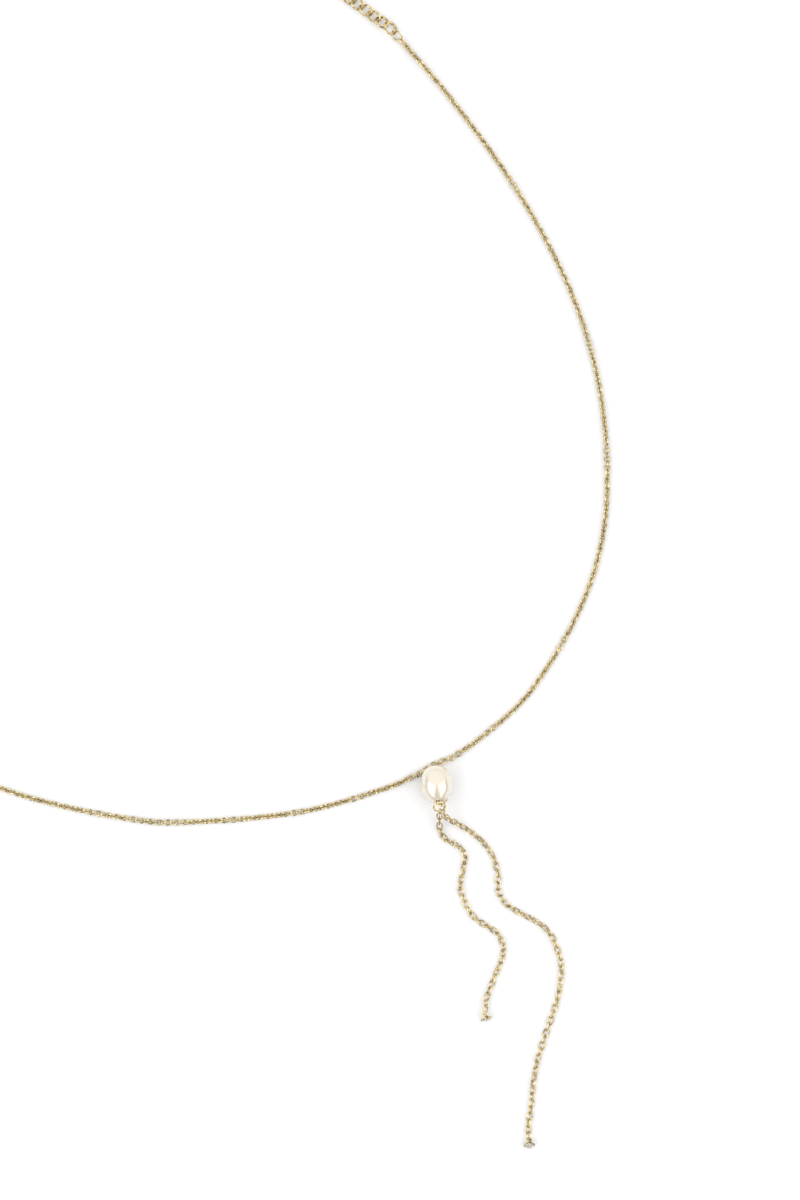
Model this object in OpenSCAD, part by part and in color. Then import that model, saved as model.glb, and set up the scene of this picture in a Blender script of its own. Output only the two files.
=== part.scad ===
// A fine gold-plated chain necklace that lies flat in a loose oval loop. One longer link
// carries a drilled pearl on a wire pin. Two short chains hang from the pin's lower eye,
// and each ends in a small cup with a clear stone. A curb chain extension and a plain
// ring clasp close the loop. Z is up, the surface is at z = 0, millimetres throughout.

/* [Fine chain] */
// Outer width of a fine link, and of the tube that stands for the fine chain
fine_w = 1.2; // [1:0.05:1.3]
// Length of the longer link that carries the pearl, outside
pendant_len = 1.7; // [1.65:0.05:1.8]
// Wire of the fine links
fine_wire = 0.28; // [0.22:0.02:0.3]

/* [Pearl] */
// Length of the pearl
pearl_len = 7.5; // [7.2:0.1:7.8]
// Largest width of the pearl
pearl_w = 6; // [5.8:0.1:6.2]
// How much fuller the pearl's chain end is than its foot
pearl_egg = 0.18; // [0:0.02:0.24]
// How far the pearl's foot is raised, degrees
pearl_tilt = 15; // [12:1:18]
// How far the drilled hole rises to the foot, degrees
bore_tilt = 31; // [30:1:32]
// Diameter of the drilled hole
bore_d = 0.8; // [0.6:0.1:1]

/* [Pin and rings] */
// Wire of the pearl pin
pin_wire = 0.25; // [0.2:0.01:0.28]
// Inside diameter of the pin's eyes
eye_in = 0.5; // [0.48:0.01:0.54]
// Outside diameter of the ring that holds the tails
tail_ring_d = 2.6; // [2.4:0.1:2.8]
// Wire of the ring that holds the tails
tail_ring_wire = 0.3; // [0.26:0.01:0.31]

/* [Tail chains] */
// Distance from one tail link to the next
tail_pitch = 1.25; // [1.2:0.01:1.3]
// Outer width of a tail link
tail_w = 1.24; // [1.22:0.01:1.3]
// Wire of the tail links
tail_wire = 0.28; // [0.25:0.01:0.29]
// How far the links roll to and fro from a zigzag, degrees
tail_sway = 28; // [0:1:30]

/* [Extension] */
// Number of links in the extension
ext_links = 25; // [25:1:25]
// Distance from one extension link to the next
ext_pitch = 1.95; // [1.9:0.01:2]
// Outer width of an extension link
ext_w = 2.2; // [2.1:0.05:2.3]
// Wire of the extension links
ext_wire = 0.42; // [0.38:0.01:0.44]
// Outside diameter of the jump rings at the extension and at the clasp
jump_d = 3; // [2.9:0.05:3.1]
// Wire of the jump rings
jump_wire = 0.42; // [0.38:0.01:0.44]

/* [Clasp] */
// Outside diameter of the ring clasp
clasp_d = 5; // [4.8:0.1:5.2]
// Thickness of the clasp's round bar
clasp_bar = 0.8; // [0.7:0.05:0.85]

/* [Stones] */
// Outside diameter of a stone's cup
cup_d = 1.9; // [1.85:0.05:1.95]
// Diameter of a stone
stone_d = 1.8; // [1.74:0.01:1.84]

/* [Hidden] */

gold = [0.83, 0.68, 0.38];
cream = [0.95, 0.92, 0.85];
clear = [0.86, 0.88, 0.9];

// Least space between two pieces of metal that hang in each other
gap = 0.1;
// Steps on each stretch of a route between two of its points
steps = 12;
// Sides of exact round parts in preview
round_fn = 24;

// The loop, from the pearl's link up the right side, over the top, down the left and back
loop_points = [
    [57.4, -43.42, 0.62], [59.3, -42.65, 0.61], [61.8, -41.5, 0.61], [67.2, -37.6, 0.61],
    [74.2, -31.3, 0.61], [79.7, -23.7, 0.61], [84.3, -15.5, 0.61], [87.8, -6.8, 0.61],
    [89.8, 2.4, 0.61], [90.3, 11.7, 0.61], [89.8, 21, 0.61], [88.4, 30.2, 0.61],
    [86, 39.3, 0.61], [82.7, 48, 0.61], [78.5, 56.5, 0.61], [73.8, 64.6, 0.61],
    [68.6, 72.4, 0.61], [63, 79.9, 0.61], [57.2, 87.2, 0.61], [51.1, 94.1, 0.75],
    [49, 96.5, 1.1], [47.2, 97.8, 0.82], [45.7, 98.9, 0.62], [42.4, 101.3, 0.55],
    [36, 105.6, 0.55], [27, 109.1, 0.55], [17, 111.8, 0.55], [10.5, 113.2, 0.6],
    [8.6, 113.5, 0.7], [6.7, 113.7, 0.9], [4.8, 113.9, 1.12], [-1.7, 114.6, 0.62],
    [-4, 114.8, 0.61], [-15, 114.7, 0.61], [-25, 113.3, 0.61], [-36, 110.2, 0.61],
    [-48, 104.9, 0.61], [-60, 97.2, 0.61], [-71, 87, 0.61], [-79.6, 75, 0.61],
    [-86, 61.2, 0.61], [-89.6, 46.3, 0.61], [-90.2, 31, 0.61], [-88, 16, 0.61],
    [-83, 2, 0.61], [-74.5, -11.8, 0.61], [-63, -24.2, 0.61], [-50, -34.9, 0.61],
    [-37.3, -42.3, 0.61], [-24.3, -48.1, 0.61], [-11.5, -51.7, 0.61], [1.6, -54, 0.61],
    [8.2, -54.4, 0.61], [21.5, -53.7, 0.61], [34.6, -51.9, 0.61], [47.4, -48.2, 0.61],
    [53.6, -45.6, 0.61], [55.7, -44.4, 0.61]
];

// The tails, from below the ring to the setting's eye
short_points = [
    [58.4, -52.9, 2.9], [58.42, -53.8, 1.95], [58.4, -54.8, 1.2], [58.45, -55.7, 0.8],
    [58.8, -56.7, 0.7], [59.7, -57.7, 0.62], [60.9, -58.3, 0.62], [62.1, -59, 0.62],
    [63.1, -60.1, 0.62], [63.3, -61.6, 0.62], [62.9, -63.5, 0.62], [62.5, -65.4, 0.62],
    [62.4, -67.1, 0.62], [63, -68.9, 0.62], [63.8, -70.7, 0.62], [64.9, -72.3, 0.62],
    [66.4, -73.5, 0.62], [68, -74.4, 0.62], [69.4, -75.4, 0.62], [70.3, -77, 0.62],
    [70.6, -78.7, 0.62], [70.2, -80.6, 0.62], [69.4, -82.5, 0.62], [68.6, -84.4, 0.62],
    [67.9, -86.3, 0.67], [67.2, -88, 0.79], [67.2, -89.4, 0.93], [66.9, -91, 1.02]
];
long_points = [
    [59.13, -52.35, 4.68], [59.45, -53.05, 4.15], [59.95, -53.6, 3.2], [60.65, -54, 2.2],
    [61.4, -54.4, 1.35], [62.3, -54.9, 0.78], [64.1, -56, 0.62], [65.5, -57.1, 0.62],
    [66.8, -58.2, 0.62], [67.9, -59.7, 0.62], [68.8, -61.3, 0.62], [69.3, -63.1, 0.62],
    [69.6, -64.8, 0.62], [69.5, -66.5, 0.62], [70, -68.5, 0.62], [71.2, -70, 0.62],
    [73, -71.2, 0.62], [74.9, -72.2, 0.62], [76.8, -73.2, 0.62], [78.7, -74.6, 0.62],
    [80, -76.5, 0.62], [80.9, -78.7, 0.62], [81.5, -80.9, 0.62], [81.6, -83.2, 0.62],
    [81.3, -85.5, 0.62], [80.8, -88, 0.62], [79.9, -90.8, 0.62], [78.9, -93.7, 0.62],
    [78, -96.4, 0.62], [77.2, -99, 0.62], [76.6, -101.7, 0.62], [76.2, -104.1, 0.62],
    [76, -106.8, 0.62], [75.7, -109.1, 0.62], [75.4, -111.3, 0.62], [75.3, -113, 0.62],
    [75.5, -115.2, 0.62]
];

// Where a point lies between p1 and p2 on the smooth curve through four points
function between(p0, p1, p2, p3, t) =
    (2 * p1 + (p2 - p0) * t + (2 * p0 - 5 * p1 + 4 * p2 - p3) * t * t
        + (3 * p1 - p0 - 3 * p2 + p3) * t * t * t) / 2;

// The smooth closed curve through a list of points
function closed_curve(p) =
    let (n = len(p))
    concat([for (i = [0 : n - 1], k = [0 : steps - 1])
        between(p[(i + n - 1) % n], p[i], p[(i + 1) % n], p[(i + 2) % n], k / steps)], [p[0]]);

// The smooth curve from the first to the last of a list of points
function open_curve(p) =
    let (n = len(p), q = concat([2 * p[0] - p[1]], p, [2 * p[n - 1] - p[n - 2]]))
    concat([for (i = [1 : n - 1], k = [0 : steps - 1])
        between(q[i - 1], q[i], q[i + 1], q[i + 2], k / steps)], [p[n - 1]]);

// Length along a curve to each of its points
function run_of(c) = [for (i = 0, s = 0; i < len(c);
    s = i + 1 < len(c) ? s + norm(c[i + 1] - c[i]) : s, i = i + 1) s];

// A curve as three tables that give x, y and z for a length along it
function tables(c) =
    let (s = run_of(c))
    [for (k = [0 : 2]) [for (i = [0 : len(c) - 1]) [s[i], c[i][k]]]];

function length_of(t) = t[0][len(t[0]) - 1][0];
function spot(t, s) = [for (k = [0 : 2]) lookup(s, t[k])];
function unit(v) = v / norm(v);

// The way a curve points at length s, taken over a reach before and after it
function heading(t, s, reach = 0.4) = unit(spot(t, s + reach) - spot(t, s - reach));

loop = tables(closed_curve(loop_points));
loop_len = length_of(loop);

// Half lengths of the loops in the run, from centre to the middle of the end wire
pendant_half = (pendant_len - fine_wire) / 2;
pendant_wide = (fine_w - fine_wire) / 2;
oval_half = 1.11;
oval_wide = 0.76;
oval_wire = 0.28;
oval_roll = -30;
jump_half = (jump_d - jump_wire) / 2;
jump_roll = 42;
ext_half = (ext_pitch + 2 * gap + ext_wire) / 2;
ext_wide = (ext_w - ext_wire) / 2;
ext_twist = 0.36;
ext_bow = 0.8;
ext_last_roll = 100;
clasp_half = (clasp_d - clasp_bar) / 2;

// Centre distance of two loops that hang in each other
function hang(half_a, wire_a, half_b, wire_b, free) =
    half_a + half_b - (wire_a + wire_b) / 2 - free;

// Places along the loop, as the length from the pearl's link
oval_at = 162.5;
jump_at = oval_at + hang(oval_half, oval_wire, jump_half, jump_wire, 1.5 * gap);
ext_at = jump_at + hang(jump_half, jump_wire, ext_half, ext_wire, 2 * gap);
ext_end = ext_at + (ext_links - 1) * ext_pitch;

// The ring clasp lies nearly flat. Its bar runs through the last link, which is on edge,
// and its own eye stands upright and holds a jump ring that lies nearly flat too.
bar_side = 0.04;
bar_drop = 0.12;
clasp_ring_free = 0.09;
clasp_ring_drop = 0.05;
clasp_eye = 0.62;
clasp_eye_wire = 0.35;
clasp_eye_off = clasp_half + 0.9;
clasp_eye_up = 0.46;
clasp_dir = unit([-1, 0.1, -0.12]);
bar_at = spot(loop, ext_end) + [ext_wide - ext_half, bar_side, -bar_drop];
clasp_at = bar_at + clasp_half * clasp_dir;
clasp_ring_dir = unit([-1, 0.1, -0.09]);
clasp_ring_at = clasp_at + clasp_eye_off * clasp_dir
    + [0, 0, clasp_eye_up - clasp_ring_drop] + (jump_half + clasp_ring_free) * clasp_ring_dir;

// The tube's ends stop short of the loops that the end links hang in
right_start = pendant_len / 2 + gap;
right_end = oval_at - oval_half - oval_wire / 2 - gap;
left_start = ext_end + ext_half - ext_wide + clasp_half + clasp_eye_off + jump_half
    + clasp_ring_free + jump_d / 2 + gap;
left_end = loop_len - pendant_len / 2 - gap;

// Half outline of the pearl: radius, and place along its axis from the foot to the chain
// end. The factor makes the chain end blunt and the foot narrow.
pearl_half = pearl_len / 2;
pearl_outline = [for (a = [0 : 7.5 : 180])
    [pearl_w / 2 * sin(a) * (1 + pearl_egg * cos(a) * abs(cos(a))), pearl_half * cos(a)]];

// Height of the pearl's middle, with its chain end low and its side just off the surface
pearl_lift = 0.02;
pearl_z = pearl_lift
    + max([for (p = pearl_outline) p[0] * cos(pearl_tilt) + p[1] * sin(pearl_tilt)]);

// Distance from the pearl's middle to its surface, for an angle off its axis
function pearl_out(angle) = lookup(angle, [for (p = pearl_outline) [atan2(p[0], p[1]), norm(p)]]);
bore_off = bore_tilt - pearl_tilt;
eye_free = 0.5;
reach_top = pearl_out(bore_off) + eye_free;
reach_foot = pearl_out(180 - bore_off) + eye_free;
eye_turn = (eye_in + pin_wire) / 2;

// Plan distance from the pearl's middle to the middle of the eye at a given reach
function eye_plan(reach) = reach * cos(bore_tilt) - eye_turn * sin(bore_tilt);

// The pearl hangs on the near side of its link, and lies where its upper eye puts it
pearl_turn = 94.5;
pearl_dir = [cos(pearl_turn), sin(pearl_turn), 0];
pendant_dir = heading(loop, 0.4);
hook = loop_points[0] + unit(cross(pendant_dir, [0, 0, 1])) * pendant_wide;
pearl_at = [hook[0], hook[1], pearl_z] - pearl_dir * eye_plan(reach_top);

// Middle of the pin's lower eye, where the tail ring passes through
foot_eye = pearl_at - pearl_dir * eye_plan(reach_foot)
    + [0, 0, reach_foot * sin(bore_tilt) + eye_turn * cos(bore_tilt)];
ring_half = (tail_ring_d - tail_ring_wire) / 2;
ring_slope = 46;
ring_turn = -70;
ring_dir = [cos(ring_turn) * cos(ring_slope), sin(ring_turn) * cos(ring_slope), -sin(ring_slope)];

ring_side = unit(cross([0, 0, 1], ring_dir));

// A place in the ring's plane, at an angle from its lowest point and a distance from its
// middle
function ring_place(angle, out) =
    foot_eye + ring_dir * ring_half + (ring_dir * cos(angle) + ring_side * sin(angle)) * out;

// Half sizes of a tail link to the middle of its wire
tail_gap = 0.2;
tail_half = (tail_pitch + tail_gap + tail_wire) / 2;
tail_wide = (tail_w - tail_wire) / 2;
tail_joint = (tail_gap + tail_wire) / 2;

// The short tail hangs on the ring near its lowest point
short_angle = -8;
short_free = 0.14;
short_start = ring_place(short_angle,
    ring_half - (tail_ring_wire - tail_gap) / 2 - short_free);
short_run = tables(open_curve(concat([short_start], short_points)));
short_count = floor(length_of(short_run) / tail_pitch);

// The long tail's first link hangs over the ring's upper right and points back past it.
// The next link hooks into its inner end and leads the tail off over the ring.
over_angle = 115;
over_reach = 0.86;
over_dir = unit([-0.66, -0.7, -0.1]);
over_end = ring_place(over_angle, ring_half) + over_dir * over_reach;
lead_dir = unit([0.36, -0.93, -0.12]);
long_start = over_end - lead_dir * tail_joint;
long_run = tables(open_curve(concat(
    [for (s = [0, 0.4, 0.8]) long_start + lead_dir * s], long_points)));
long_count = floor(length_of(long_run) / tail_pitch);

// Frame of a link that points along h, rolled about it: across, then square to its face
function link_frame(h, roll) =
    let (side = unit(cross([0, 0, 1], h)), up = cross(h, side))
    [cos(roll) * side + sin(roll) * up, cos(roll) * up - sin(roll) * side];

// Points of one link's wire: a long oval that is walked round in stations. The twist lifts
// two opposite quarters and drops the others. The bow is the share by which the straight
// sides are rounded out to an ellipse.
function link_points(c, h, roll, half, wide, wire, ends, sides, twist, bow) =
    let (f = link_frame(h, roll))
    [for (j = [0 : 2 * ends - 1])
        let (a = j < ends ? 180 * j / (ends - 1) - 90 : 180 * (j - ends) / (ends - 1) + 90,
            out = cos(a) * h + sin(a) * f[0],
            push = (half - wide) * (bow * cos(a) + (1 - bow) * (j < ends ? 1 : -1)),
            mid = c + h * push + out * wide + f[1] * twist * sin(2 * a))
        for (k = [0 : sides - 1])
            mid + (out * cos(360 * k / sides) + f[1] * sin(360 * k / sides)) * wire / 2];

// Triangles of count closed wires, each with rings stations of sides points
function link_faces(count, rings, sides) =
    [for (n = [0 : count - 1], j = [0 : rings - 1], k = [0 : sides - 1])
        let (o = n * rings * sides, a = o + j * sides, b = o + ((j + 1) % rings) * sides,
            k2 = (k + 1) % sides)
        each [[a + k, a + k2, b + k2], [a + k, b + k2, b + k]]];

// A chain of links from a list of rows: middle, heading, roll, twist and bow
module links(rows, half, wide, wire, ends, sides) {
    polyhedron(
        points = [for (r = rows) each link_points(r[0], r[1], r[2], half, wide, wire,
            ends, sides, r[3], r[4])],
        faces = link_faces(len(rows), 2 * ends, sides));
}

// A tube along part of a route, with a ring of points at each of its stations
module tube(t, from, to, rings, width, sides = 8) {
    points = [for (i = [0 : rings - 1])
        let (s = from + (to - from) * i / (rings - 1), c = spot(t, s), h = heading(t, s),
            f = link_frame(h, 0))
        for (k = [0 : sides - 1])
            c + (f[0] * cos(360 * k / sides) + f[1] * sin(360 * k / sides)) * width / 2];
    last = (rings - 1) * sides;
    faces = concat(
        [for (i = [0 : rings - 2], k = [0 : sides - 1])
            let (a = i * sides, b = a + sides, k2 = (k + 1) % sides)
            each [[a + k, b + k2, a + k2], [a + k, b + k, b + k2]]],
        [for (k = [1 : sides - 2]) [0, k, k + 1]],
        [for (k = [1 : sides - 2]) [last, last + k + 1, last + k]]);
    polyhedron(points = points, faces = faces);
}

// Puts a piece made along +X at a point, turned along h and rolled about it
module along(c, h, roll = 0) {
    translate(c)
        rotate([roll, -asin(h[2]), atan2(h[1], h[0])])
            children();
}

// A round wire ring in the XY plane
module wire_ring(half, wire) {
    rotate_extrude($fn = 2 * round_fn)
        translate([half, 0])
            circle(d = wire, $fn = round_fn);
}

// A wire loop with round ends and straight sides in the XY plane, long along X
module wire_oval(half, wide, wire) {
    for (s = [1, -1])
        translate([s * (half - wide), 0, 0])
            rotate([0, 0, -90 * s])
                rotate_extrude(angle = 180, $fn = 2 * round_fn)
                    translate([wide, 0])
                        circle(d = wire, $fn = round_fn);
    for (s = [1, -1])
        translate([wide - half, s * wide, 0])
            rotate([0, 90, 0])
                cylinder(d = wire, h = 2 * (half - wide), $fn = round_fn);
}

// Roll of a tail link: about square to its neighbours. Past the first links of the tail
// they lie in a zigzag, but for a slow sway that turns some of them flat.
zigzag = 40;
sway_step = 14;
sway_in = 14;
function tail_roll(i) =
    90 * (i + 1) + (zigzag + tail_sway * sin(sway_step * i)) * min(i, sway_in) / sway_in;

// Rows of a tail: each link spans one pitch of the route. Its rolls begin at a given link.
function tail_rows(t, count, first) =
    [for (i = [0 : count - 1])
        let (a = spot(t, i * tail_pitch), b = spot(t, (i + 1) * tail_pitch))
        [(a + b) / 2, unit(b - a), tail_roll(i + first), 0, 0]];

// Row of the long tail's first link
function over_row() = [over_end - over_dir * tail_half, over_dir, tail_roll(0), 0, 0];

// Rows of the extension: flat links, and the last one on edge to take the clasp
function ext_rows() =
    [for (i = [0 : ext_links - 1])
        let (s = ext_at + i * ext_pitch, last = i == ext_links - 1)
        [spot(loop, s), heading(loop, s), last ? ext_last_roll : 0, last ? 0 : ext_twist,
            last ? 0 : ext_bow]];

module main_chain_right() {
    color(gold) tube(loop, right_start, right_end, 28, fine_w);
}

module main_chain_left() {
    color(gold) tube(loop, left_start, left_end, 52, fine_w);
}

module pendant_link() {
    color(gold)
        links([[loop_points[0], pendant_dir, 0, 0, 0]], pendant_half, pendant_wide, fine_wire,
            7, 8);
}

// The pearl is turned about its long axis and drilled at a slant
module pearl() {
    color(cream)
        translate(pearl_at)
            rotate([0, 0, pearl_turn])
                difference() {
                    rotate([0, 90 + pearl_tilt, 0])
                        rotate_extrude($fn = 2 * round_fn)
                            polygon(pearl_outline);
                    rotate([0, 90 + bore_tilt, 0])
                        cylinder(d = bore_d, h = 2 * pearl_len, center = true, $fn = round_fn);
                }
}

// One end of the pin: straight wire along +X that turns back into an eye below it
module pin_end(reach) {
    rotate([0, 90, 0])
        cylinder(d = pin_wire, h = reach, $fn = round_fn);
    translate([reach, 0, -eye_turn])
        rotate([90, 0, 0])
            rotate([0, 0, 90])
                rotate_extrude(angle = -325, $fn = 2 * round_fn)
                    translate([eye_turn, 0])
                        circle(d = pin_wire, $fn = round_fn);
}

module pearl_pin() {
    color(gold)
        translate(pearl_at)
            rotate([0, bore_tilt, pearl_turn]) {
                pin_end(reach_top);
                rotate([0, 180, 0])
                    pin_end(reach_foot);
            }
}

module tail_ring() {
    color(gold)
        along(foot_eye, ring_dir)
            translate([ring_half, 0, 0])
                wire_ring(ring_half, tail_ring_wire);
}

module short_tail() {
    color(gold)
        links(tail_rows(short_run, short_count, 0), tail_half, tail_wide, tail_wire, 5, 5);
}

module long_tail() {
    color(gold)
        links(concat([over_row()], tail_rows(long_run, long_count, 1)), tail_half, tail_wide,
            tail_wire, 5, 5);
}

// Sizes of a cup, from its closed back at x = 0 to its claws
cup_deep = 0.5;
cup_back = 0.9;
cup_floor = 0.2;
cup_hole = 0.3;
cup_wall = 0.1;
cup_eye = 0.48;
cup_eye_wire = 0.22;
cup_free = 0.08;
claw_wire = 0.14;
claw_len = 0.62;
claw_sunk = 0.2;
claw_inset = 0.15;
claw_lean = 32;

// A cup that opens along +X, with an eye behind it and four claws round the stone's edge
module setting() {
    rotate([0, 90, 0])
        difference() {
            cylinder(d1 = cup_back, d2 = cup_d, h = cup_deep, $fn = round_fn);
            translate([0, 0, cup_floor])
                cylinder(d1 = cup_hole, d2 = cup_d - 2 * cup_wall, h = cup_deep - cup_floor + 0.001,
                    $fn = round_fn);
        }
    translate([-cup_eye, 0, 0])
        wire_ring(cup_eye, cup_eye_wire);
    for (a = [45 : 90 : 315])
        rotate([a, 0, 0])
            translate([cup_deep - claw_sunk, 0, cup_d / 2 - claw_inset])
                rotate([0, 90 - claw_lean, 0])
                    cylinder(d = claw_wire, h = claw_len, $fn = round_fn);
}

// A round stone that opens along +X: point, girdle of 16 sides, crown and table
module stone() {
    girdle = stone_d / 2;
    low = 0.63;
    high = 0.69;
    mid = 0.81;
    table = 0.92;
    point = 0.3;
    points = concat(
        [[point, 0, 0]],
        [for (a = [0 : 22.5 : 337.5]) [low, girdle * cos(a), girdle * sin(a)]],
        [for (a = [0 : 22.5 : 337.5]) [high, girdle * cos(a), girdle * sin(a)]],
        [for (a = [22.5 : 45 : 337.5]) [mid, 0.84 * girdle * cos(a), 0.84 * girdle * sin(a)]],
        [for (a = [0 : 45 : 315]) [table, 0.6 * girdle * cos(a), 0.6 * girdle * sin(a)]],
        [[table, 0, 0]]);
    under = 1;
    over = under + 16;
    crown = over + 16;
    rim = crown + 8;
    centre = rim + 8;
    faces = concat(
        [for (j = [0 : 15]) [0, under + (j + 1) % 16, under + j]],
        [for (j = [0 : 15]) each [
            [under + j, under + (j + 1) % 16, over + (j + 1) % 16],
            [under + j, over + (j + 1) % 16, over + j]]],
        [for (k = [0 : 7]) let (k2 = (k + 1) % 8, j = over + 2 * k, j2 = over + 2 * k2) each [
            [crown + k, j, j + 1],
            [crown + k, j + 1, j2],
            [crown + k, j2, crown + k2],
            [crown + k, crown + k2, rim + k2],
            [crown + k, rim + k2, rim + k],
            [rim + k, rim + k2, centre]]]);
    polyhedron(points = points, faces = faces);
}

// Where each cup begins and the way it faces, a little upwards. Its eye stands across
// the last link of its tail.
cup_off = 2 * cup_eye - (cup_eye_wire + tail_wire) / 2 - cup_free;
short_face = unit([0.25, -0.9, 0.12]);
long_face = unit([0.02, -1, 0.58]);
short_cup = spot(short_run, short_count * tail_pitch) + cup_off * short_face;
long_cup = spot(long_run, long_count * tail_pitch) + cup_off * long_face;
short_roll = tail_roll(short_count - 1) + 90;
long_roll = tail_roll(long_count) + 90;

module short_setting() {
    color(gold) along(short_cup, short_face, short_roll) setting();
}

module long_setting() {
    color(gold) along(long_cup, long_face, long_roll) setting();
}

module short_stone() {
    color(clear) along(short_cup, short_face, short_roll) stone();
}

module long_stone() {
    color(clear) along(long_cup, long_face, long_roll) stone();
}

module oval_link() {
    color(gold)
        along(spot(loop, oval_at), unit(spot(loop, jump_at) - spot(loop, oval_at)), oval_roll)
            wire_oval(oval_half, oval_wide, oval_wire);
}

module extension_ring() {
    color(gold)
        along(spot(loop, jump_at), heading(loop, jump_at, 1), jump_roll)
            wire_ring(jump_half, jump_wire);
}

module extension_chain() {
    color(gold)
        links(ext_rows(), ext_half, ext_wide, ext_wire, 7, 6);
}

module clasp() {
    color(gold)
        along(clasp_at, clasp_dir) {
            wire_ring(clasp_half, clasp_bar);
            translate([clasp_eye_off, 0, clasp_eye_up])
                rotate([90, 0, 0])
                    wire_ring(clasp_eye, clasp_eye_wire);
        }
}

module clasp_ring() {
    color(gold)
        along(clasp_ring_at, clasp_ring_dir)
            wire_ring(jump_half, jump_wire);
}

main_chain_right();
main_chain_left();
pendant_link();
pearl();
pearl_pin();
tail_ring();
short_tail();
long_tail();
short_setting();
long_setting();
short_stone();
long_stone();
oval_link();
extension_ring();
extension_chain();
clasp();
clasp_ring();
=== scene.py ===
"""Fine chain necklace with a pearl: the looks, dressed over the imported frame.

Lengths are worked out in millimetres and go into the meshes in metres. The routes and sizes
repeat those of the part's source, so every piece lies where its solid lies.
"""

import logging
from dataclasses import dataclass
from enum import Enum
from functools import cached_property
from typing import ClassVar

import bpy
import numpy as np
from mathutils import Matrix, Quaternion, Vector


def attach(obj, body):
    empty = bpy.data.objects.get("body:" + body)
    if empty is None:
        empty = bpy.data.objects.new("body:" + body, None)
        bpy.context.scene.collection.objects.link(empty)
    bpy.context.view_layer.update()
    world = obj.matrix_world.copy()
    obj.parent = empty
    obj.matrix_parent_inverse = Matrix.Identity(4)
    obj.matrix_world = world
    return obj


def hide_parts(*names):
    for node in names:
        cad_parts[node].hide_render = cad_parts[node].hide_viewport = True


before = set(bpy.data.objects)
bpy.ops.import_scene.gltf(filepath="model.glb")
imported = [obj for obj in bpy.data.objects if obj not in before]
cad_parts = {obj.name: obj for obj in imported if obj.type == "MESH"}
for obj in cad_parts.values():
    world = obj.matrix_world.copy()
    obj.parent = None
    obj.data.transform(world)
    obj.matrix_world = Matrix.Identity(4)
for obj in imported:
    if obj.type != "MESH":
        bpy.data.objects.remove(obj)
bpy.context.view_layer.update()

log = logging.getLogger("necklace")
MM = 0.001
UP = np.array([0.0, 0.0, 1.0])

# Points in millimetres, and faces as numbers of points
Mesh = tuple[np.ndarray, np.ndarray | list[tuple[int, ...]]]
Triple = tuple[float, float, float]

# Routes of the loop from the pearl's link round to it again, and of the two tails
LOOP_POINTS = np.array([
    [57.4, -43.42, 0.62], [59.3, -42.65, 0.61], [61.8, -41.5, 0.61], [67.2, -37.6, 0.61],
    [74.2, -31.3, 0.61], [79.7, -23.7, 0.61], [84.3, -15.5, 0.61], [87.8, -6.8, 0.61],
    [89.8, 2.4, 0.61], [90.3, 11.7, 0.61], [89.8, 21, 0.61], [88.4, 30.2, 0.61],
    [86, 39.3, 0.61], [82.7, 48, 0.61], [78.5, 56.5, 0.61], [73.8, 64.6, 0.61],
    [68.6, 72.4, 0.61], [63, 79.9, 0.61], [57.2, 87.2, 0.61], [51.1, 94.1, 0.75],
    [49, 96.5, 1.1], [47.2, 97.8, 0.82], [45.7, 98.9, 0.62], [42.4, 101.3, 0.55],
    [36, 105.6, 0.55], [27, 109.1, 0.55], [17, 111.8, 0.55], [10.5, 113.2, 0.6],
    [8.6, 113.5, 0.7], [6.7, 113.7, 0.9], [4.8, 113.9, 1.12], [-1.7, 114.6, 0.62],
    [-4, 114.8, 0.61], [-15, 114.7, 0.61], [-25, 113.3, 0.61], [-36, 110.2, 0.61],
    [-48, 104.9, 0.61], [-60, 97.2, 0.61], [-71, 87, 0.61], [-79.6, 75, 0.61],
    [-86, 61.2, 0.61], [-89.6, 46.3, 0.61], [-90.2, 31, 0.61], [-88, 16, 0.61],
    [-83, 2, 0.61], [-74.5, -11.8, 0.61], [-63, -24.2, 0.61], [-50, -34.9, 0.61],
    [-37.3, -42.3, 0.61], [-24.3, -48.1, 0.61], [-11.5, -51.7, 0.61], [1.6, -54, 0.61],
    [8.2, -54.4, 0.61], [21.5, -53.7, 0.61], [34.6, -51.9, 0.61], [47.4, -48.2, 0.61],
    [53.6, -45.6, 0.61], [55.7, -44.4, 0.61],
])
SHORT_POINTS = np.array([
    [58.4, -52.9, 2.9], [58.42, -53.8, 1.95], [58.4, -54.8, 1.2], [58.45, -55.7, 0.8],
    [58.8, -56.7, 0.7], [59.7, -57.7, 0.62], [60.9, -58.3, 0.62], [62.1, -59, 0.62],
    [63.1, -60.1, 0.62], [63.3, -61.6, 0.62], [62.9, -63.5, 0.62], [62.5, -65.4, 0.62],
    [62.4, -67.1, 0.62], [63, -68.9, 0.62], [63.8, -70.7, 0.62], [64.9, -72.3, 0.62],
    [66.4, -73.5, 0.62], [68, -74.4, 0.62], [69.4, -75.4, 0.62], [70.3, -77, 0.62],
    [70.6, -78.7, 0.62], [70.2, -80.6, 0.62], [69.4, -82.5, 0.62], [68.6, -84.4, 0.62],
    [67.9, -86.3, 0.67], [67.2, -88, 0.79], [67.2, -89.4, 0.93], [66.9, -91, 1.02],
])
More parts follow.
